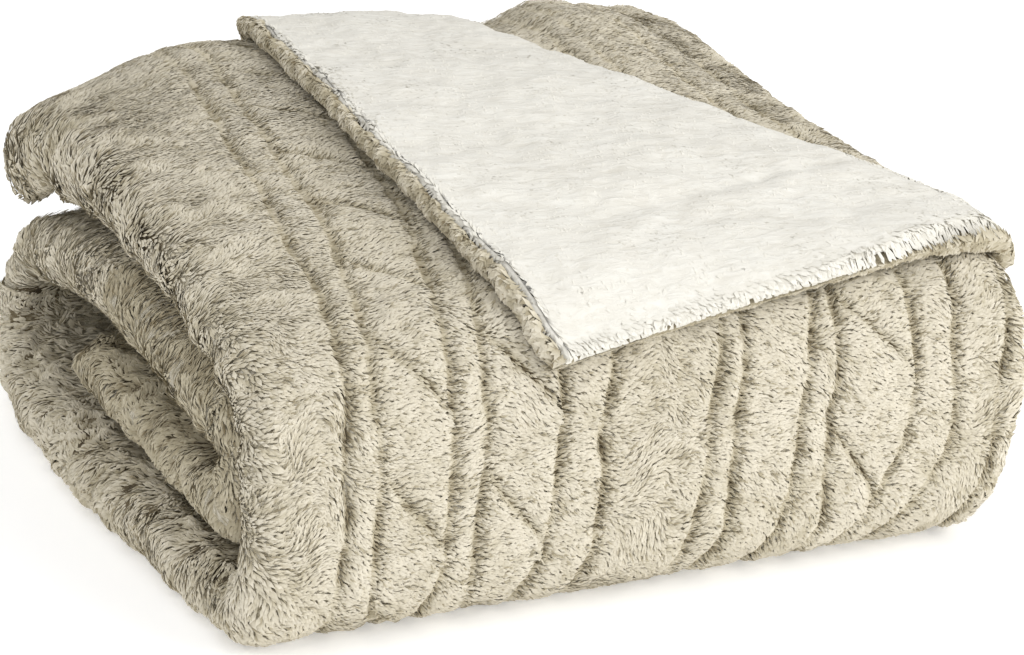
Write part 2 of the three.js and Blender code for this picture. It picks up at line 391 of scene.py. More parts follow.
# %% The grooves
GROOVES_AT = (60, 200, 300, 350, 385, 410, 435, 460, 485, 510)
GROOVES = {
    "left of rib 1": (92, 75, 62, 60, 54, 51, 48, 48, 47, 50),
    "rib 1 to cable 1": (108, 95, 84, 77, 70, 65, 66, 65, 68, 78),
    "cable 1 to rib 2": (150, 140, 127, 117, 109, 105, 103, 103, 104, 100),
    "rib 2 to cable 2": (168, 158, 148, 138, 127, 122, 121, 118, 121, 128),
    "cable 2 to rib 3": (200, 190, 180, 172, 166, 163, 160, 159, 158, 153),
    "rib 3 to moss": (222, 215, 205, 198, 193, 190, 183, 184, 185, 183),
    "moss to rib 4": (280, 272, 264, 258, 253, 249, 243, 241, 241, 240),
    "rib 4 to plain": (292, 284, 276, 270, 265, 261, 259, 257, 262, 254),
    "plain to rib 5": (322, 318, 314, 311, 306, 298, 296, 293, 294, 290),
    "rib 5 to cable 3": (338, 334, 328, 322, 318, 316, 310, 312, 322, 318),
    "cable 3 to rib 6": (376, 372, 367, 364, 361, 360, 358, 354, 345, 336),
    "rib 6 to moss": (398, 396, 394, 394, 388, 381, 385, 382, 368, 352),
    "right end": (425, 424, 423, 422, 420, 415, 408, 413, 410, 408),
}
CABLES = [
    # left groove, right groove, where a crossing starts
    ("rib 1 to cable 1", "cable 1 to rib 2", 372),
    ("rib 2 to cable 2", "cable 2 to rib 3", 436),
    ("rib 5 to cable 3", "cable 3 to rib 6", 378),
]
CROSSING = 58  # from one crossing to the next
DIAGONAL = 50  # how long a crossing is
CROSSING_DEPTH = 0.5  # of a straight groove's depth
CABLE_MARGIN = 4  # how far past a cable's grooves its crossings reach
FAR_OFF = 99.0  # no groove near
RIB_HEIGHT = 3.8
GROOVE_WIDTH = 2.1
SWELL_WIDTH = 8
SHARP, SOFT = 0.62, 0.38  # how much of a rib's height lies in its narrow groove and in its wide swell


# %% Where a groove or a crossing is
def groove_place(name, along):
    """How far across a groove is. The length of its name picks the noise by which it wanders."""
    wander = 1.6 * ripple(along, 0, 31, len(name)) + 0.7 * ripple(along, 0, 9, len(name) + 3)
    return np.interp(along, GROOVES_AT, GROOVES[name]) + wander


def crossing_offset(across, along):
    """The distance beside a cable's crossing, with its sign, and how deep the crossing is there."""
    off = np.full(np.broadcast(across, along).shape, FAR_OFF)
    depth = np.zeros_like(off)
    for left, right, start in CABLES:
        edge, far = groove_place(left, along), groove_place(right, along)
        part = np.clip(np.mod(along - start, CROSSING) / DIAGONAL, 0, 1)
        slope = (far - edge) * 6 * part * (1 - part) / DIAGONAL
        beside = (across - edge - (far - edge) * part**2 * (3 - 2 * part)) / np.sqrt(1 + slope**2)
        inside = (across > edge - CABLE_MARGIN) & (across < far + CABLE_MARGIN)
        off = np.where(inside, beside, off)
        depth = np.where(inside, np.clip(3.5 * part * (1 - part), 0, 1), depth)
    return off, depth


# %% How deep the nearest groove is
def groove_field(across, along):
    """The distance to the nearest groove, and how deep that groove is there, from 0 to 1."""
    nearest = np.full(np.broadcast(across, along).shape, FAR_OFF)
    depth = np.zeros_like(nearest)

    def take(offset, slope, strength):
        nonlocal nearest, depth
        distance = np.abs(offset) / np.sqrt(1 + slope**2)
        closer = distance < nearest
        nearest = np.where(closer, distance, nearest)
        depth = np.where(closer, strength, depth)

    for name in GROOVES:
        place = groove_place(name, along)
        slope = (groove_place(name, along + 4) - place) / 4
        take(across - place, slope, 1.0)
    off, crossing = crossing_offset(across, along)
    take(np.where(crossing > 0, off, FAR_OFF), 0, CROSSING_DEPTH * np.minimum(1, 1.6 * crossing))
    broken = np.clip(0.85 + 0.5 * ripple(across, along, 11, 7), 0.3, 1.1)
    flatter_near_end = np.clip((along + 60) / 260, 0.5, 1)
    return nearest, depth * broken * flatter_near_end


def relief(across, along):
    """The height of the sculpted plush: full on a rib, and down in a groove."""
    nearest, depth = groove_field(across, along)
    cut = depth * np.exp(-((nearest / GROOVE_WIDTH) ** 1.5))
    swell = 1 - depth * np.exp(-nearest / SWELL_WIDTH)
    uneven = 0.6 * ripple(across, along, 12, 5) + 0.6 * ripple(across, along, 5.5, 6)
    return RIB_HEIGHT * (SHARP * (1 - cut) + SOFT * swell) + uneven


# %% [markdown]
# ## Across the strip
# Cloth folded in thirds has one middle line across the strip too: from the hem of the lower third,
# round the fold at the left end, over the outer third, round the fold at the right end, to the hem
# of the middle third. A place on the cloth is then its way along that line, its way along the
# strip, and a height off the cloth's middle.

# %% The folded profile
SKIN = 3.2  # from the middle of the cloth to its bare side
HEM_SETBACK = 6  # how far the lower third stops short of the right fold
LEFT_TURN, RIGHT_TURN = PITCH, PITCH / 2
LEFT, RIGHT = LEFT_TURN + CLOTH / 2, LENGTH - RIGHT_TURN - CLOTH / 2
TOP_WIDTH = RIGHT - LEFT
UNDER_WIDTH = TOP_WIDTH - HEM_SETBACK
LEFT_ROUND, RIGHT_ROUND = math.pi * LEFT_TURN, math.pi * RIGHT_TURN
# Where the outer third starts and ends on the way across the cloth, and where the last hem is.
OUTER_START = UNDER_WIDTH + LEFT_ROUND
OUTER_END = OUTER_START + TOP_WIDTH
CLOTH_WIDTH = OUTER_END + RIGHT_ROUND + UNDER_WIDTH


def profile(way):
    """The place of the cloth's middle in the strip, and the direction of its outer side."""
    way = np.asarray(way, float)
    left_angle = -math.pi / 2 - (way - UNDER_WIDTH) / LEFT_TURN
    right_angle = math.pi / 2 - (way - OUTER_END) / RIGHT_TURN
    parts = [way < UNDER_WIDTH, way < OUTER_START, way < OUTER_END, way < OUTER_END + RIGHT_ROUND]
    across = np.select(
        parts,
        [
            RIGHT - HEM_SETBACK - way,
            LEFT + LEFT_TURN * np.cos(left_angle),
            LEFT + way - OUTER_START,
            RIGHT + RIGHT_TURN * np.cos(right_angle),
        ],
        RIGHT - (way - OUTER_END - RIGHT_ROUND),
    )
    over = np.select(
        parts,
        [-PITCH, LEFT_TURN * np.sin(left_angle), PITCH, RIGHT_TURN + RIGHT_TURN * np.sin(right_angle)],
        0,
    )
    normal_across = np.select(parts, [0, np.cos(left_angle), 0, np.cos(right_angle)], 0)
    normal_over = np.select(parts, [-1, np.sin(left_angle), 1, np.sin(right_angle)], -1)
    return across, over, normal_across, normal_over


# %% Any point on the cloth, and its relief
def on_cloth(way, along, height):
    """In metres. No point goes below the floor."""
    across, over, normal_across, normal_over = profile(way)
    place = on_strip(across + normal_across * height, along, over + normal_over * height)
    place[..., 2] = np.maximum(place[..., 2], 0)
    return place * MM


def clumps(way, along):
    """Away from the cables the pile gathers in clumps a few millimetres wide."""
    return 1.9 * ripple(way, along, 10, 9) + 1.5 * ripple(way, along, 5, 10)


def relief_on(way, along):
    """The sculpted relief of the outer third, dying out towards its folds."""
    across = np.asarray(way) - OUTER_START + LEFT
    share = np.clip((across - 8) / 14, 0, 1) * np.clip((LENGTH - 2 - across) / 12, 0, 1)
    plain = 1.4 + clumps(way, along)
    return share * relief(across, along) + (1 - share) * plain


def parting(way, along):
    """Where the pile parts, in thin winding lines mostly across the cloth: 1 on a line, 0 beside it."""
    return np.exp(-((ripple(way, 2.0 * np.asarray(along), 9, 12) / 0.16) ** 2))


# %% [markdown]
# ## The folded plush
# The cloth is one closed sheet: a grid for its outer side and one for its inner side, each grid
# point laid on its fold. The two sides meet at the hems, where they are merged. A cloth simulation
# could drape it, but a blanket this thick keeps the folds that hands gave it, so they are placed.

# %% A closed sheet from two grids
MERGE_DISTANCE = 1e-7


def closed_sheet(name, upper, lower, carried=None):
    """carried: values of each grid point that the material reads, by name."""
    bm = bmesh.new()
    columns, rows = upper.shape[:2]
    layers = {key: bm.verts.layers.float.new(key) for key in carried or {}}
    for points in (upper, lower):
        grid = bmesh.ops.create_grid(bm, x_segments=columns - 1, y_segments=rows - 1, size=1)
        for vertex in grid["verts"]:
            column = round((vertex.co.x + 1) / 2 * (columns - 1))
            row = round((vertex.co.y + 1) / 2 * (rows - 1))
            vertex.co = points[column, row]
            for key, layer in layers.items():
                vertex[layer] = float(carried[key][column, row])
    bmesh.ops.remove_doubles(bm, verts=bm.verts, dist=MERGE_DISTANCE)
    bmesh.ops.recalc_face_normals(bm, faces=bm.faces)
    mesh = bpy.data.meshes.new(name)
    bm.to_mesh(mesh)
    bm.free()
    mesh.shade_smooth()
    print(name, "has", len(mesh.polygons), "faces")
    return put(name, mesh)


# %% What the cloth carries for its finish
PAST_THE_LAST = 60  # from the outermost grooves to one more on each side, which isn't drawn
CROSSING_REACH = 14


def carried_chart(way, along, outside):
    """What the finish draws the grooves from: how many lie to the left, as a number that runs on between
    them, how far apart they are, and how far off and how deep a crossing is."""
    across = way[:, None] - OUTER_START + LEFT + 0 * along[None, :]
    run = along[None, :] + 0 * across
    places = np.stack([groove_place(name, run) for name in GROOVES])
    places = np.concatenate([places[:1] - PAST_THE_LAST, places, places[-1:] + PAST_THE_LAST])
    below = np.clip((across[None] >= places).sum(0) - 1, 0, len(places) - 2)
    near, far = (np.take_along_axis(places, (below + step)[None], 0)[0] for step in (0, 1))
    off, deep = crossing_offset(across, run)
    depth = groove_field(across, run)[1] * outside
    return {
        "groove_phase": below + np.clip((across - near) / (far - near), 0, 1),
        "groove_gap": far - near,
        "groove_depth": depth,
        "crossing_off": np.clip(off, -CROSSING_REACH, CROSSING_REACH),
        "crossing_depth": deep * outside,
        "cloth_x": way[:, None] + 0 * run,
        "cloth_y": run,
    }


# %% Rounded hems
HEM_PLACES = np.array([0.0, 0.6, 2.2])


def crowded(start, end, steps):
    """Places from start to end, with a few close to each end where a hem is rounded."""
    inner = np.linspace(start, end, steps)[1:-1]
    return np.concatenate([start + HEM_PLACES, inner, end - HEM_PLACES[::-1]])


def hem_rounding(distance, radius):
    """The share of its thickness that cloth has at a distance from its hem."""
    return np.sqrt(np.clip(1 - (1 - np.clip(distance / radius, 0, 1)) ** 2, 0, 1))


# %% The rolled cloth
FOOT = 500  # the rows are closer together from the free end to here, at the front's foot
HEM_RADIUS = 4
way = np.concatenate(
    [
        crowded(0, UNDER_WIDTH, 20)[:-3],
        np.linspace(UNDER_WIDTH, OUTER_START, 12)[:-1],
        np.linspace(OUTER_START, OUTER_END, 88)[:-1],
        np.linspace(OUTER_END, OUTER_END + RIGHT_ROUND, 9)[:-1],
        crowded(OUTER_END + RIGHT_ROUND, CLOTH_WIDTH, 18)[3:],
    ]
)
along = np.concatenate(
    [
        crowded(0, FOOT, 92)[:-3],
        np.linspace(FOOT, STRIP_LENGTH, 76)[:-1],
        STRIP_LENGTH - HEM_PLACES[::-1],
    ]
)
rounded = np.minimum(
    hem_rounding(np.minimum(way, CLOTH_WIDTH - way), HEM_RADIUS)[:, None],
    hem_rounding(np.minimum(along, STRIP_LENGTH - along), HEM_RADIUS)[None, :],
)
on_outer = (way > UNDER_WIDTH - 20) & (way < OUTER_END + RIGHT_ROUND)
# The cloth stays below the tufts: it takes the lowest relief near by.
raised = np.minimum.reduce(
    [relief_on(way[:, None] + aside, along[None, :]) for aside in (-2.5, -1.2, 0, 1.2, 2.5)]
)
raised *= on_outer[:, None]
plush = closed_sheet(
    "plush_face",
    on_cloth(way[:, None], along[None, :], rounded * (SKIN - 1.2 + raised)),
    on_cloth(way[:, None], along[None, :], -rounded * SKIN),
    carried_chart(way, along, np.where(on_outer[:, None], 1.0, 0.0)),
)

# %% [markdown]
# ## The turned-back corner
# The corner is plush below and fleece above. Its outline is given by a few rows from its front hem
# to the back edge: where its left and right sides lie, how much its right side folds down, and how
# far it stands off the top at four places. Past the right end it bends down.

# %% The corner's table
FACE_THICK = 5.0
BACK_THICK = 5.0
PIECE_GAP = 0.8  # between the plush and the fleece
LIE_GAP = 1.5  # between the corner and the top
BACK_INSET = 1.0  # how far the fleece stops short of the front hem
SIDE_INSET = 6.0  # and of the left hem
RIM_WIDTH = 13.0  # the rolled rim at the right end of the front hem
FOLD_LIP = 14.0  # how far in from its right side the corner folds down
TURN_DEPTH = 3.8  # how far below the top the turn round the back edge ends
HEM_LEFT, HEM_RIGHT = 407.0, 368.0  # from the back edge to the front hem, at the left and at the right
CORNER = np.array(
    [
        # run, left, right, lip, lift left, lift middle, lift arch, lift end
        (0.0, 157, 438, 0.2, 0, 0, 6, -2),
        (0.03, 148, 437, 0.2, 0.5, 0, 5, -2),
        (0.1, 141, 427, 0.2, 2, 0, 1, -2),
        (0.22, 133, 399, 0.4, 4, 0, 0, -1),
        (0.36, 128, 366, 1, 6, 0, 0, 0),
        (0.55, 130, 326, 1, 6, 0, 0, 0),
        (0.78, 136, 293, 1, 3, 0, 0, 0),
        (0.93, 146, 279, 1, 1, 0, 0, 0),
        (1.0, 160, 272, 1, 0, 0, 0, 0),
    ]
)
LIFT_SHARES = (0, 0.3, 0.77, 1)


def corner_row(run):
    """The table's values at a run from 0, the front hem, to 1, the back edge."""
    return [np.interp(np.clip(run, 0, 1), CORNER[:, 0], CORNER[:, column]) for column in range(1, 8)]


# %% Any point on the corner
def on_corner(share, run, height, lip_drop=0.0):
    """share: from the left to the right side; run: from the front hem to the back edge and round it;
    height: over the corner's under side; lip_drop: how far the right side folds down. In metres."""
    share, run, height = np.broadcast_arrays(share, run, height)
    left, right, lip, *lifts = corner_row(run)
    across = left + (right - left) * share
    lift = LIE_GAP + sum(
        np.interp(share, LIFT_SHARES, np.eye(4)[index]) * lifts[index] for index in range(4)
    )
    hem = HEM_LEFT + (HEM_RIGHT - HEM_LEFT) * share
    along = hem * (1 - np.clip(run, 0, 1))
    fold = np.clip(1 - (right - across) / FOLD_LIP, 0, 1) ** 2 * lip
    over = lift + height - fold * lip_drop
    # Past the strip's right end the corner bends down round the fold.
    round_end = RIGHT_TURN + CLOTH / 2
    past = np.maximum(across - RIGHT, 0)
    angle = np.minimum(past / round_end, math.pi / 2)
    drop = np.maximum(past - round_end * math.pi / 2, 0)
    bent_height = RIGHT_TURN + (round_end + over) * np.cos(angle) - drop
    strip_height = np.where(past > 0, bent_height, HALF_STRIP + over)
    # Past the back edge it turns down round the strip's free end.
    turn = (lift + FACE_THICK / 2 + TURN_DEPTH) / 2
    turned = np.clip((run - 1) * HEM_LEFT / (turn + 6), 0, math.pi)
    reach = turn + (over - lift) - FACE_THICK / 2
    strip_height = np.where(run > 1, HALF_STRIP + turn - TURN_DEPTH + reach * np.cos(turned), strip_height)
    on_top = np.minimum(across, RIGHT)
    found = on_strip(on_top, along, strip_height)
    found[..., 0] += np.where(past > 0, (round_end + over) * np.sin(angle), 0)
    edge = on_strip(on_top, 0 * along, 1.0) - on_strip(on_top, 0 * along, 0.0)
    backward = np.where(run > 1, reach * np.sin(turned), 0)
    found[..., 1] += edge[..., 2] * backward
    found[..., 2] -= edge[..., 1] * backward
    return found * MM


# %% A grid on the corner
ROWS_ROUND_EDGE = 18


def corner_grid(left_inset, right_inset, columns, rows, run_start, run_end):
    """Each point's share and run, and how far it is from the nearest side and from the front hem."""
    on_top = crowded(run_start * HEM_LEFT, HEM_LEFT, rows)[:-3]
    round_edge = np.linspace(HEM_LEFT, run_end * HEM_LEFT, ROWS_ROUND_EDGE)
    run = np.concatenate([on_top, round_edge]) / HEM_LEFT
    left, right, lip, *_ = corner_row(run)
    width = right - left
    start, end = left_inset / width, 1 - right_inset * lip / width
    spread = crowded(0, 100, columns) / 100
    share = start[None, :] + (end - start)[None, :] * spread[:, None]
    from_side = np.minimum(share - start[None, :], end[None, :] - share) * width[None, :]
    from_hem = (run - run_start) * HEM_LEFT
    return share, run[None, :] + 0 * share, from_side, from_hem[None, :] + 0 * share


def rim_share(share):
    """The width of the front hem's rolled rim: none in the left half, 1 at the right end."""
    return np.clip((share - 0.52) / 0.48, 0, 1) ** 1.4


def behind_rim(share, run):
    """The run of the fleece, which lies behind that rim."""
    return run + RIM_WIDTH / HEM_LEFT * rim_share(share) * np.clip(1 - run / 0.25, 0, 1)


# %% The corner's plush layer
FACE_MID = FACE_THICK / 2
FACE_RADIUS = 3
share, run, from_side, from_hem = corner_grid(0, FOLD_LIP, 44, 64, 0, 1.092)
rounded = np.minimum(hem_rounding(from_side, FACE_RADIUS), hem_rounding(from_hem, FACE_RADIUS))
corner = closed_sheet(
    "plush_corner",
    on_corner(share, run, FACE_MID + rounded * (FACE_MID - 0.2)),
    on_corner(share, run, FACE_MID - rounded * (FACE_MID - 0.8)),
)

# %% The corner's fleece
share, run, from_side, from_hem = corner_grid(SIDE_INSET, 0, 100, 130, BACK_INSET / HEM_LEFT, 1.07)
FLEECE_HALF = BACK_THICK / 2
FLEECE_MID = FACE_THICK + PIECE_GAP + FLEECE_HALF
FLEECE_DROP = 7  # how far its right side folds down
FLEECE_RADIUS = 5  # of its rounded hem


def fleece_lumps(x, y):
    """Soft lumps, and one long soft crease behind the front hem."""
    behind = y - 65 - 0.118 * (x - 81)
    fade = np.exp(-(((x - 165) / 90) ** 4))
    crease = fade * (1.3 * np.exp(-(((behind + 13) / 10) ** 2)) - 2.0 * np.exp(-((behind / 5) ** 2)))
    lumps = crease + 1.3 * ripple(x, y, 30, 20) + 1.0 * ripple(x, y, 13, 21)
    return lumps + 0.7 * ripple(x, y, 6.5, 22)


rounded = np.minimum(hem_rounding(from_side, FLEECE_RADIUS), hem_rounding(from_hem, FLEECE_RADIUS))
left, right, *_ = corner_row(run)
lumps = fleece_lumps(share * (right - left), run * HEM_LEFT)
run = behind_rim(share, run)
fleece = closed_sheet(
    "fleece_back",
    on_corner(share, run, FLEECE_MID + rounded * (FLEECE_HALF + lumps), FLEECE_DROP),
    on_corner(share, run, FLEECE_MID - rounded * (FLEECE_HALF - 0.3), FLEECE_DROP),
)

# %% [markdown]
# ## The pile
# Plush pile stands in small leaning tufts. Each tuft is a slim grain of four faces on four points:
# a root, two sides and a tip. Hair particles could make it too, but a mesh of joined grains keeps
# its shape in every program. Tufts are planted on a jittered grid and lie along a flow that leans
# away from the grooves.


# %% Planting tufts
def plant(width, length, spacing, seed):
    """A place for each tuft on a jittered grid, and the random numbers that the region goes on with."""
    random = np.random.default_rng(seed)
    columns, rows = max(1, round(width / spacing)), max(1, round(length / spacing))
    x, y = np.meshgrid(np.arange(columns), np.arange(rows), indexing="ij")
    x = (x + random.random(x.shape)) * width / columns
    y = (y + random.random(y.shape)) * length / rows
    return x.ravel(), y.ravel(), random


# %% Joining tufts
BELLY = 0.62  # how far along a tuft it is widest
GRAIN = np.array([0, 3, 1, 0, 2, 3, 0, 1, 2, 3, 2, 1])  # its four faces: 0 is the root, 3 the tip
ROOT_DEPTH = 0.8  # how deep the root stands in the ground


def join_tufts(name, lay, ground, root, aim, size, rise, tone, depth, width):
    """lay(u, v, height): a point in metres; ground(u, v): its height and its painted shade there.
    Of each tuft, root: where it stands; aim: the way it lies; size: its length; rise: how high its tip is;
    tone: how light it is; depth: how much painted shade darkens its root; width: a share of its length."""
    side = width * size / 2
    onward = np.array([[0], [BELLY], [BELLY], [1]])
    ahead = size * onward
    aside = side * np.array([[0], [1], [-1], [0]])
    u = root[0] + aim[0] * ahead - aim[1] * aside
    v = root[1] + aim[1] * ahead + aim[0] * aside
    height, light = ground(u, v)
    height = height + rise * onward - side * np.array([[0], [0.3], [0.3], [0]])
    height[0] -= ROOT_DEPTH
    points = np.moveaxis(lay(u, v, height), 0, 1)
    a, b, c = (points[:, index] - points[:, 0] for index in (3, 1, 2))
    turned = np.einsum("ij,ij->i", a, np.cross(b, c)) > 0
    points[turned, 1:3] = points[turned, 2:0:-1]
    count = len(points)
    mesh = bpy.data.meshes.new(name)
    mesh.vertices.add(count * 4)
    mesh.vertices.foreach_set("co", points.ravel().astype(np.float32))
    mesh.loops.add(count * 12)
    mesh.loops.foreach_set("vertex_index", (GRAIN[None, :] + 4 * np.arange(count)[:, None]).ravel())
    mesh.polygons.add(count * 4)
    mesh.polygons.foreach_set("loop_start", np.arange(0, count * 12, 3))
    mesh.update(calc_edges=True)
    mesh.shade_flat()
    # The colour carries painted shade: from the ground's grooves and hollows, and at each tuft's root.
    shade = light * tone * (1 - depth * np.array([[1], [0.4], [0.4], [0]]))
    layer = mesh.attributes.new("shade", "FLOAT", "POINT")
    layer.data.foreach_set("value", shade.T.ravel().astype(np.float32))
    print(name, "has", count, "tufts")
    return put(name, mesh)


# %% How the plush lies
def under_corner(across, along):
    """Where the turned-back corner hides the top, so that no tufts are needed."""
    run = 1 - along / 390
    for _ in range(3):
        left, right, lip, *_ = corner_row(run)
        share = np.clip((across - left) / (right - left), 0, 1)
        run = 1 - along / (HEM_LEFT + (HEM_RIGHT - HEM_LEFT) * share)
    return (across > left + 16) & (across < right - 12) & (run > 0.03) & (along > 6)


def mossy_share(across):
    """How tangled the pile is: most in the mossy panel between rib 3 and rib 4 and towards both ends."""
    panel = np.clip(1.2 - np.abs(across - 213) / 30, 0, 1)
    left_end = np.clip(1.5 - across / 40, 0, 1)
    right_end = np.clip(1.6 - (425 - across) / 28, 0, 1)
    return np.clip(panel + left_end + right_end, 0, 1)


def plush_ground_at(way, along):
    """The height of the pile's ground, and its painted shade: darker in grooves, partings and hollows."""
    near, deep = groove_field(way - OUTER_START + LEFT, along)
    outer = (way > OUTER_START) & (way < OUTER_END + 2)
    light = 1 - 0.45 * outer * deep * np.exp(-((near / 1.4) ** 2))
    valley = np.clip(-clumps(way, along) / 2.2 - 0.1, 0, 1)
    light = light * np.where(outer, 1 - 0.08 * valley, 1 - 0.22 * valley)
    parted = parting(way, along) * np.where(outer, 0.55, 1)
    return SKIN - 0.6 + relief_on(way, along) - 0.7 * parted, light * (1 - 0.2 * parted)


# %% Plush tufts of one region
# Painted shade: past this point the pile is painted darker, where less light reaches inside the roll.
SHADED_INSIDE = 1150  # from here on the strip is inside the roll, and darker
TUFT_SIZE = (3.6, 6.2)
TUFT_SPACING = 1.25  # tufts that stand further apart than this are longer


def plush_tufts(name, start, end, first, last, spacing, seed, grooves=True, keep=None):
    """start, end: across the cloth; first, last: along the strip; grooves: whether the chart shows;
    keep(way, along): which tufts are needed. Some are cracks, slim and with painted shade, where the pile
    parts."""
    way, along, random = plant(end - start, last - first, spacing, seed)
    way, along = way + start, along + first
    if keep is not None:
        kept = keep(way, along)
        way, along = way[kept], along[kept]
    across = way - OUTER_START + LEFT
    count = len(way)
    swirl = ripple(way, along, 22, 30) + 0.7 * ripple(way, along, 9, 31)
    mossy = mossy_share(across)
    heading = 0.25 + swirl * (0.5 + 1.0 * mossy) + random.normal(0, 0.24, count)
    du, dv = np.cos(heading), np.sin(heading)
    near, deep = np.full(count, FAR_OFF), np.zeros(count)
    if grooves:
        near, deep = groove_field(across, along)
        pull_x = groove_field(across + 0.8, along)[0] - groove_field(across - 0.8, along)[0]
        pull_y = groove_field(across, along + 0.8)[0] - groove_field(across, along - 0.8)[0]
        push = 0.5 * deep * np.exp(-near / 2.2)
        du, dv = du + pull_x * push, dv + pull_y * push
    length = np.hypot(du, dv) + 1e-6
    du, dv = du / length, dv / length
    beside = deep * np.exp(-((near / 3.0) ** 2))
    crack = random.random(count) < 0.006 + (0.2 + 0.08 * mossy) * parting(way, along) + 0.25 * beside
    shorter = np.where(near < 2.5, 0.85, 1)
    size = random.uniform(*TUFT_SIZE, count) * shorter * math.sqrt(spacing / TUFT_SPACING)
    width = np.where(crack, 0.12, 0.26)
    rise = random.uniform(0.1, 0.6 + 0.5 * mossy, count) + 0.35 * crack
    tone = 1 + 0.04 * ripple(way, along, 30, 33) + random.normal(0, 0.025 + 0.02 * mossy, count)
    # Painted shade: crack tufts are painted darker where the pile parts, and all tufts deep inside the
    # roll.
    tone *= np.where(crack, 0.7, 1) * np.where(along > SHADED_INSIDE, 0.8, 1)
    # Painted shade at each tuft's root, more in tangled pile and beside the grooves.
    root_shade = 0.11 + 0.12 * mossy + 0.2 * beside
    return join_tufts(
        name, on_cloth, plush_ground_at, (way, along), (du, dv), size, rise, tone, root_shade, width=width
    )


# %% Plush tufts, region by region
def clear_of_corner(way, along):
    return ~under_corner(way - OUTER_START + LEFT, along)


FIRST_PART, SECOND_PART = OUTER_START + TOP_WIDTH * 0.3, OUTER_START + TOP_WIDTH * 0.65
LEFT_EDGE, RIGHT_EDGE = OUTER_START - 4, OUTER_END + 4  # the outer third and a little of its folds
INSIDE_EDGE, INSIDE_DEPTH = UNDER_WIDTH - 12, 50
FRONT_FOOT = 520  # the top and the front run along the strip from 0 to here
BACK_FOOT, BACK_TOP = 824, 1240
FRONT_SPACING = 1.2
whole = (0, STRIP_LENGTH)
front = (0, FRONT_FOOT, FRONT_SPACING)
pile = [
    plush_tufts("pile_front_left", LEFT_EDGE, FIRST_PART, *front, 1, keep=clear_of_corner),
    plush_tufts("pile_front_middle", FIRST_PART, SECOND_PART, *front, 2, keep=clear_of_corner),
    plush_tufts("pile_front_right", SECOND_PART, RIGHT_EDGE, *front, 10, keep=clear_of_corner),
    plush_tufts("pile_left_end", INSIDE_EDGE, LEFT_EDGE, *whole, 1.45, 3, grooves=False),
    plush_tufts("pile_inside", INSIDE_EDGE - INSIDE_DEPTH, INSIDE_EDGE, *whole, 2.9, 9, grooves=False),
    plush_tufts("pile_right_end", RIGHT_EDGE, OUTER_END + RIGHT_ROUND, *whole, 1.7, 4, grooves=False),
    plush_tufts("pile_back", LEFT_EDGE, RIGHT_EDGE, BACK_FOOT, BACK_TOP, 2.7, 5),
]

# %% [markdown]
# ## Tufts on the fleece
# The fleece is curly, and its curls show most at its edges, where they stand out over the hem. So
# its tufts are dense near the edges and scattered over the middle, where lumps and streaks do the
# rest.


# %% The ground of the fleece
def lay_fleece(x, y, height):
    """x: from the corner's left side, y: from its front hem."""
    left, right, *_ = corner_row(y / HEM_LEFT)
    share = x / (right - left)
    return on_corner(share, behind_rim(share, y / HEM_LEFT), height, FLEECE_DROP)


def fleece_edges(x, y):
    """How far a place is from the left, the right and the front edge of the fleece."""
    left, right, *_ = corner_row(y / HEM_LEFT)
    return x - SIDE_INSET, right - left - x, y - BACK_INSET


def fleece_ground_at(x, y):
    """The height of the fleece, which puffs up beside its edges, and how light it is."""
    from_edge = np.minimum.reduce(fleece_edges(x, y))
    rounded = hem_rounding(from_edge + 0.6, FLEECE_RADIUS)
    puff = 1.1 * np.exp(-(((from_edge - 1.5) / 3) ** 2)) - 0.7 * np.clip(-from_edge, 0, 6)
    return FLEECE_MID + rounded * (FLEECE_HALF - 0.2 + fleece_lumps(x, y)) + puff, 1.0


# %% Fleece tufts
FLEECE_REACH = 320  # more than the fleece's width anywhere
EDGE_REACH = 9  # tufts are dense this near an edge


def fleece_tufts(name, spacing, seed):
    x, y, random = plant(FLEECE_REACH, 1.06 * HEM_LEFT - BACK_INSET, spacing, seed)
    x, y = x + SIDE_INSET, y + BACK_INSET
    from_left, from_right, from_front = fleece_edges(x, y)
    from_edge = np.minimum.reduce([from_left, from_right, from_front])
    kept = (from_edge > 0) & ((from_edge < EDGE_REACH) | (random.random(len(x)) < 0.4))
    x, y, from_left, from_right, from_front, from_edge = (
        v[kept] for v in (x, y, from_left, from_right, from_front, from_edge)
    )
    heading = 0.5 + 2.2 * ripple(x, y, 20, 40) + random.normal(0, 0.5, len(x))
    du = np.cos(heading) + 2.0 * np.exp(-from_right / 4) - 2.0 * np.exp(-from_left / 3)
    dv = np.sin(heading) - 3 * np.exp(-from_front / 4)
    length = np.hypot(du, dv) + 1e-6
    size = random.uniform(*TUFT_SIZE, len(x)) * (1 + 0.4 * np.exp(-from_front / 3))
    rise = random.uniform(0.1, 0.7, len(x)) + random.uniform(0, 0.5, len(x)) * np.exp(-from_edge / 2.5)
    tone = 1 + random.normal(0, 0.02, len(x)) - 0.1 * (random.random(len(x)) < 0.1)
    aim = (du / length, dv / length)
    return join_tufts(
        name, lay_fleece, fleece_ground_at, (x, y), aim, size, rise, tone, depth=0.1, width=0.38
    )


fleece_pile = [fleece_tufts("pile_fleece", 1.75, 6)]

# %% [markdown]
# ## The hems
# Seen from the front, the plush hem of the turned-back corner is a fat tufted rim under the fleece.
# Its tufts are planted round the hem and hang outwards and down. The hem at the strip's free end,
# behind, is tufted the same way.

# %% Rim tufts
RIM_ROUND = 18.0  # the way round a rim
RIM_TUFT_SIZE = (5, 8)
FRONT_HEM = 300  # about the length of the corner's front hem


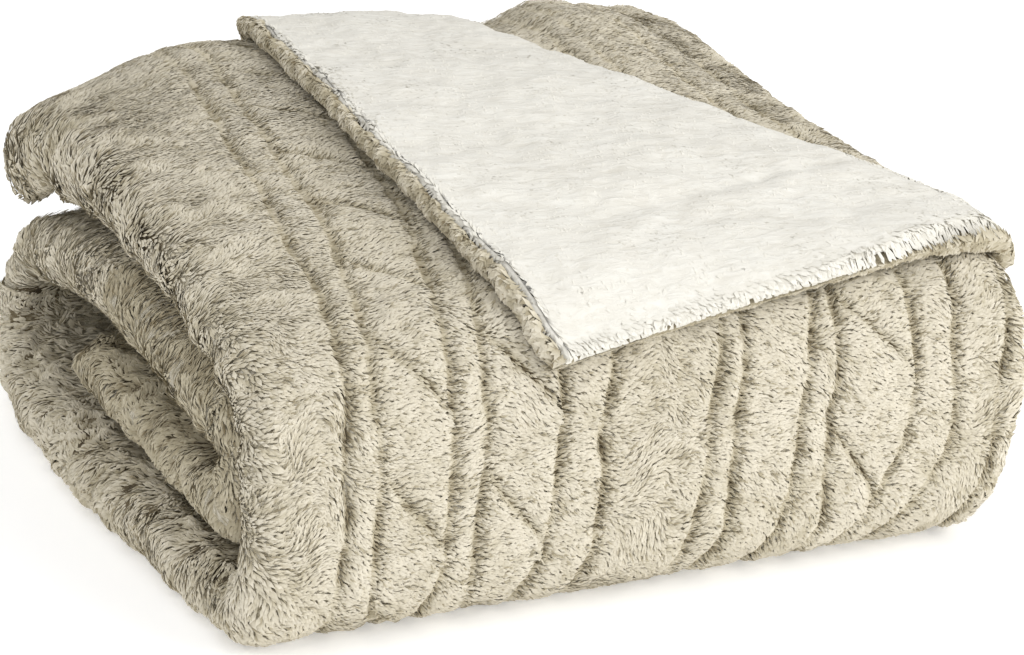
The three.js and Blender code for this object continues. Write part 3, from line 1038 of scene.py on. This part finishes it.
def rim_tufts(name, length, point_on_rim, spacing, seed):
    """point_on_rim(part, y, height): part goes from 0 on the rim's top to 1 on its under side."""
    v, y, random = plant(RIM_ROUND, length, spacing, seed)
    heading = random.normal(0, 0.5, len(v))
    tone = 1 + random.normal(0, 0.05, len(v)) - 0.35 * (random.random(len(v)) < 0.12)
    rise = random.uniform(0.3, 1.5, len(v))

    def lay(u, v, height):
        return point_on_rim(u / RIM_ROUND, v, height)

    def ground(u, v):
        # Painted shade: the rim's tufts are darker in the hollows between its clumps.
        clump = ripple(u, v, 6.5, 50) + 0.5 * ripple(u, v, 3, 51)
        return 1.7 * clump, np.clip(0.9 + 0.3 * clump, 0.5, 1)

    aim = (np.cos(heading), np.sin(heading))
    size = random.uniform(*RIM_TUFT_SIZE, len(v))
    return join_tufts(name, lay, ground, (v, y), aim, size, rise, tone, depth=0.3, width=0.34)


# %% The three rims
def left_rim(part, y, height):
    """The corner's left hem, from its top round to its under side."""
    angle = np.radians(115 - 200 * np.clip(part, 0, 1.3))
    left, right, *_ = corner_row(y / HEM_LEFT)
    across = 4.4 - (4.8 + height) * np.cos(angle)
    over = 5.6 + (5.2 + height) * np.sin(angle)
    return on_corner(across / (right - left), y / HEM_LEFT, over)


def front_rim(part, x, height):
    """The corner's front hem. It grows wider towards the right end, where it turns up over the fleece."""
    share = x / FRONT_HEM
    wide = rim_share(share)
    angle = np.radians(30 + 55 * wide - np.clip(part, 0, 1.3) * (120 + 50 * wide))
    forward = 2.0 + 11 * wide - (2.2 + 12.5 * wide + height) * np.cos(angle)
    over = 2.8 + 3.0 * wide + (2.4 + 5.4 * wide + height) * np.sin(angle)
    return on_corner(share, forward / HEM_LEFT, over)


def free_hem(part, way, height):
    """The hem at the strip's free end, from the outer side round to the inner side."""
    angle = np.radians(95 - 190 * np.clip(part, 0, 1.2))
    return on_cloth(way, 3.2 - (3.3 + height) * np.cos(angle), (3.3 + height) * np.sin(angle))


rims = [
    rim_tufts("pile_left_rim", 1.04 * HEM_LEFT, left_rim, 1.2, 7),
    rim_tufts("pile_front_rim", FRONT_HEM, front_rim, 1.3, 8),
    rim_tufts("pile_free_hem", CLOTH_WIDTH, free_hem, 1.9, 12),
]
pile += rims

# %% [markdown]
# ## The finish of the pile
# Plush is darkest at its roots, where the light doesn't reach, and pale at its tips. The tufts
# carry how light each of their points is, and the material turns that into colour. A plain colour
# with a bump would look like felt.

# %% The pile
WHITE = (1.0, 1.0, 1.0, 1)
PLUSH_STOPS = [
    (0.0, srgb(78, 66, 44)),
    (0.4, srgb(128, 115, 88)),
    (0.72, srgb(186, 177, 153)),
    (1.0, srgb(220, 213, 196)),
]
FLEECE_STOPS = [
    (0.0, srgb(160, 153, 137)),
    (0.7, srgb(210, 206, 194)),
    (1.0, srgb(227, 224, 215)),
]


def pile_finish(name, stops, patch_tint):
    """stops: colours from root to tip; patch_tint: the darkest of the soft patches that lie over them."""
    made, shader, node = material(name, Roughness=0.95)
    tint = node.mix(node.noise(node.place(), 22.0, Detail=3.0), patch_tint, WHITE)
    colour = node.mix(1.0, node.carried("shade").ramp(stops), tint, "MULTIPLY")
    colour.into(shader.inputs["Base Color"])
    return made


plush_finish = pile_finish("plush_pile", PLUSH_STOPS, (0.94, 0.93, 0.90, 1))
fleece_finish = pile_finish("fleece_pile", FLEECE_STOPS, (0.97, 0.97, 0.96, 1))
for piece in pile:
    piece.data.materials.append(plush_finish)
for piece in fleece_pile:
    piece.data.materials.append(fleece_finish)
print("tufted pieces:", [piece.name for piece in [*pile, *fleece_pile]])

# %% [markdown]
# ## The finish of the plush cloth
# Between the tufts, and where there are none, the plush shows as streaks and curls of pile in the
# same colours. The grooves of the chart are drawn as thin dark lines of painted shade, from what
# the cloth carries.
# They could be painted on an image, but fields on the cloth's own measures stay sharp at any
# distance.

# %% The cloth under the tufts
GROOVE_LINE = -0.55  # how fast a groove's line fades to its sides
CROSSING_LINE = -0.6
LINE_DARKNESS = 0.7


def plush_ground_finish():
    made, shader, node = material("plush_ground", Roughness=0.95)
    measures = {0: node.carried("cloth_x") * 0.35, 1: node.carried("cloth_y")}
    cloth = node.node("ShaderNodeCombineXYZ", None, measures)
    streaks = node.noise(cloth, 0.9, Detail=3.0, Roughness=0.6, Distortion=1.2)
    curls = node.noise(cloth, 0.22, Detail=2.0, Distortion=2.0)
    phase = node.carried("groove_phase")
    to_groove = node.node("ShaderNodeMath", {"operation": "PINGPONG"}, {0: phase, 1: 0.5})
    to_groove = to_groove * node.carried("groove_gap")
    groove = (to_groove * to_groove * GROOVE_LINE).exponent() * node.carried("groove_depth")
    off = node.carried("crossing_off")
    crossing = (off * off * CROSSING_LINE).exponent() * node.carried("crossing_depth")
    # The groove lines are painted shade in the colour; in the bump they are the grooves' real relief.
    line = groove.larger(crossing) * LINE_DARKNESS
    light = (streaks + curls * 1.2 - 0.32 - line).clamp()
    light.ramp(PLUSH_STOPS).into(shader.inputs["Base Color"])
    height = streaks + curls * 1.5 - line
    height.bump(0.9, 0.0025).into(shader.inputs["Normal"])
    return made


plush_ground = plush_ground_finish()
for piece in (plush, corner):
    piece.data.materials.append(plush_ground)
print("the plush cloth has", len(plush_ground.node_tree.nodes), "nodes")

# %% [markdown]
# ## The finish of the fleece cloth
# Cream fleece has soft streaks that wind over the cloth and a fine fluff. Stretched noise gives
# both, in the colour and in the bump. Single curls would need far more tufts than a model of this
# size can carry.


# %% The fleece cloth
def fleece_ground_finish():
    made, shader, node = material("fleece_face", Roughness=0.95)
    place = node.place()
    turned = node.node(
        "ShaderNodeMapping",
        None,
        {"Vector": place, "Rotation": (0, 0, math.radians(35)), "Scale": (1.0, 3.6, 1.6)},
    )
    streaks = node.noise(turned, 75.0, Detail=5.0, Roughness=0.6, Distortion=0.9)
    field = streaks * 0.75 + node.noise(place, 26.0, Detail=2.0) * 0.25
    stops = [(0.3, srgb(212, 208, 197)), (0.5, srgb(223, 220, 211)), (0.7, srgb(231, 229, 221))]
    field.ramp(stops).into(shader.inputs["Base Color"])
    field.bump(0.8, 0.002).into(shader.inputs["Normal"])
    return made


fleece_ground = fleece_ground_finish()
fleece.data.materials.append(fleece_ground)
print("the fleece cloth has", len(fleece_ground.node_tree.nodes), "nodes")

# %% [markdown]
# ## The body that each piece rides on
# Every piece rides on the one body, and the imported solid that it stands for is hidden.

# %% Attaching the pieces
for piece in [plush, corner, *pile]:
    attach(piece, "root")
    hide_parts("plush_face_panel")
for piece in [fleece, *fleece_pile]:
    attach(piece, "root")
    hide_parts("fleece_back_panel")
print("sheets:", [plush.name, fleece.name])
